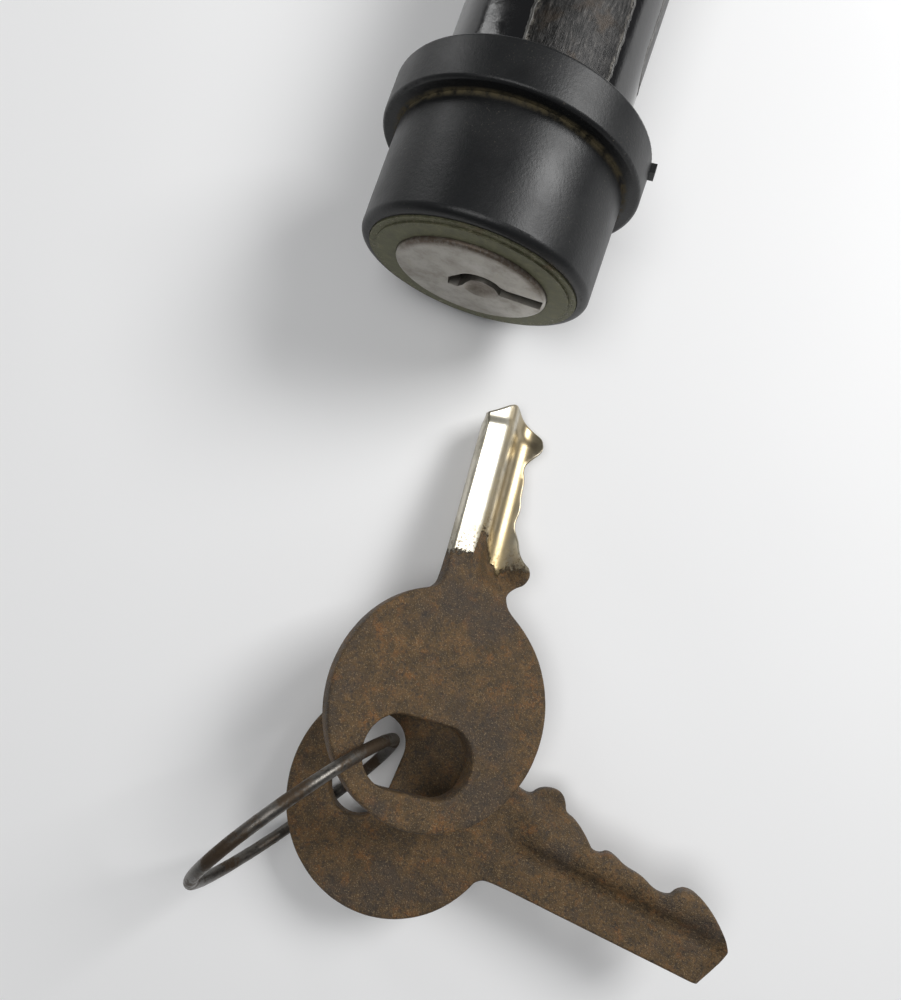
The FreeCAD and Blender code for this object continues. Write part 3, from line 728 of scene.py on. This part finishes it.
def ring_piece(name):
    """Closed loop of round wire, slightly uneven, standing on the table and leaning."""
    plan, lean = math.radians(RING_HEADING), math.radians(RING_LEAN)
    along = Vector((math.cos(plan), math.sin(plan), 0))
    side = Vector((math.sin(plan), -math.cos(plan), 0))
    up = UP * math.cos(lean) + side * math.sin(lean)
    normal = along.cross(up)
    centre = Vector((*RING_PLACE, RING_RADIUS * math.cos(lean) + RING_WIRE + TABLE))
    points = []
    for i in range(RING_TURNS):
        angle = 2 * math.pi * i / RING_TURNS
        out = along * math.cos(angle) + up * math.sin(angle)
        spot = centre + out * RING_RADIUS
        for j in range(WIRE_SIDES):
            around = 2 * math.pi * j / WIRE_SIDES
            dent = noise.fractal(spot + Vector((j * 0.7, 0, 4)), 1.0, 2.0, 3)
            wire = RING_WIRE - 0.012 - 0.012 * max(-1.0, min(1.0, dent))
            points.append(spot + (out * math.cos(around) + normal * math.sin(around)) * wire)
    return outward(mesh_object(name, points, wrapped_faces(RING_TURNS, WIRE_SIDES)))


# ---- torn coating around the worn patches ----

def peeled_edge(name, patch, seed, flat_stretches):
    """Ragged lip of loose coating along a worn patch, lying flat in flat_stretches."""
    centre, middle, half_wide, half_long, corner = patch
    corners = []
    for x_side, y_side, start in ((1, 1, 0), (-1, 1, 90), (-1, -1, 180), (1, -1, 270)):
        spot = (x_side * (half_wide - corner), y_side * (half_long - corner))
        corners += arc(spot, corner, start, start + 90, 14)
    line = spread(corners, 0.16)
    lips = []
    for i, (aside, along) in enumerate(line):
        share = i / len(line)
        wave = noise.fractal(Vector((aside * 0.9, along * 0.9, seed)), 1.0, 2.0, 5)
        rise = 0.075 * max(0.0, 0.45 + 0.9 * noise.noise(Vector((i * 0.11, seed, 0))))
        lift = 0.0 if any(low <= share <= high for low, high in flat_stretches) else rise
        section = ((-0.2, -0.05), (-0.06, lift), (0.1, lift * 0.7), (0.26, -0.05))
        away = Vector((aside, along)).normalized()
        for reach, height in section:
            spot = Vector((aside, along)) + away * (reach + 0.22 * wave)
            angle = math.radians(centre) + spot.x / TUBE_RADIUS
            radius = TUBE_RADIUS + height
            on_tube = max(spot.y + middle, 0.05)
            lips.append(Vector((radius * math.sin(angle), on_tube, radius * math.cos(angle))))
    return outward(mesh_object(name, lips, wrapped_faces(len(line), len(section))))


# ---- pieces ----

peeled_coating = plain_plastic("peeled_coating", (0.012, 0.012, 0.012), (0.1, 0.095, 0.085), 0.35)
finishes = {
    "collar": collar_plastic(), "lock_tube": tube_coating(), "cylinder_housing": zinc(),
    "face_cap": nickel_face(),
    "plug": plain_metal("plug_zinc", (0.1, 0.095, 0.08), (0.24, 0.23, 0.2), 0.45),
    "end_cap": plain_plastic("end_plastic", (0.012, 0.012, 0.013), (0.026, 0.026, 0.027), 0.45),
    "shaft_bush": plain_plastic("nylon", (0.62, 0.6, 0.54), (0.74, 0.72, 0.67), 0.5),
}
steel = plain_metal("drawn_steel", (0.26, 0.255, 0.24), (0.48, 0.47, 0.45), 0.32)
chrome = plain_metal("ball_chrome", (0.5, 0.5, 0.49), (0.66, 0.66, 0.65), 0.16, 0.004)
brass = plain_metal("brass", (0.42, 0.28, 0.1), (0.66, 0.48, 0.2), 0.34)
for node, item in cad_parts.items():
    finish = finishes.get(node, steel)
    if node.startswith("ball_") and node not in ("ball_cage", "ball_cam"):
        finish = chrome
    if node.startswith("wafer_") and "spring" not in node:
        finish = brass
    for place in item.material_slots:
        place.material = finish

key_1_place = lying((9.95, -51.95, -2.8), heading=93.0, tip_rise=-13.0, bits_drop=20.0, bits_side=-1)
key_1 = key_piece("first_key_steel", KEY_1_BITS, KEY_1_HOLE, key_1_place,
                  seed=3, plated_from=14.0, tip_bevel=27.9)
key_1.data.materials.append(key_metal("plated_key"))
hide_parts("key_1")
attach(key_1, "first_key")

# the second key is rusty all over, so its plating would start past its tip
key_2_place = lying((9.2, -62.6, -8.7), heading=-4.6, tip_rise=7.0, bits_drop=8.0, bits_side=1)
key_2 = key_piece("second_key_steel", KEY_2_BITS, KEY_2_HOLE, key_2_place,
                  seed=8, plated_from=60.0, tip_bevel=31.6)
key_2.data.materials.append(key_metal("rusted_key"))
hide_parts("key_2")
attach(key_2, "second_key")

ring = ring_piece("ring_of_wire")
ring.data.materials.append(ring_steel())
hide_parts("key_ring")
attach(ring, "ring")

for number, (patch, flat_stretches) in enumerate(zip(WORN_PATCHES, FLAT_STRETCHES), 1):
    lip = peeled_edge("peeled_edge_%d" % number, patch, number * 2.7, flat_stretches)
    lip.data.materials.append(peeled_coating)
    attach(lip, "barrel")


# ---- floor, lights and camera ----

def sheet_light(name, place, target, wide, high, power):
    """Rectangular lamp of power watts at place, shining at target."""
    lamp = bpy.data.lights.new(name, "AREA")
    lamp.shape = "RECTANGLE"
    lamp.size, lamp.size_y = wide * MM, high * MM
    lamp.energy = power
    item = collection_link(bpy.data.objects.new(name, lamp))
    item.location = Vector(place) * MM
    way = (Vector(target) - Vector(place)).normalized()
    item.rotation_euler = way.to_track_quat("-Z", "Y").to_euler()


def floor_piece():
    """Wide pale floor under the lowest point, curving up far behind the object."""
    low = cad_low.z / MM - 0.01
    profile = [(-900, 0), (900, 0)]
    turns = np.linspace(0.1, math.pi / 2, 12)
    profile += [(900 + 300 * math.sin(turn), 300 - 300 * math.cos(turn)) for turn in turns]
    profile += [(1200, 900)]
    points = [(x, along, low + rise) for along, rise in profile for x in (-1500, 1500)]
    faces = [[i, i + 1, i + 3, i + 2] for i in range(0, len(points) - 2, 2)]
    return mesh_object("studio_floor", points, faces)


floor = floor_piece()
floor.data.materials.append(floor_paint())

world = bpy.data.worlds.new("studio")
world.use_nodes = True
background = world.node_tree.nodes["Background"]
background.inputs["Color"].default_value = (0.95, 0.97, 1.0, 1.0)
background.inputs["Strength"].default_value = 0.16
bpy.context.scene.world = world

sheet_light("key_light", (140, 108, 170), (4, -25, 0), 110, 100, 0.5)
sheet_light("left_light", (-230, 150, 90), (0, 0, 0), 60, 150, 0.1)
sheet_light("top_light", (-60, -60, 300), (5, -45, 0), 160, 160, 0.35)

camera_data = bpy.data.cameras.new("photo_camera")
camera = collection_link(bpy.data.objects.new("photo_camera", camera_data))
camera_data.sensor_width = 36
camera_data.lens = 25.2
camera_data.clip_start = 0.002
camera_data.clip_end = 20
camera_data.shift_x = 0.0005
camera_data.shift_y = -0.017
forward = Vector((0.0, 0.0854, -0.9963)).normalized()
right = Vector((0.9455, 0.3244, 0.0278))
right = (right - forward * right.dot(forward)).normalized()
upward = right.cross(forward)
camera.matrix_world = (Matrix.Translation(Vector((4.25, -38.12, 62.07)) * MM)
                       @ Matrix((right, upward, -forward)).transposed().to_4x4())
bpy.context.scene.camera = camera
bpy.context.scene.view_settings.view_transform = "Standard"
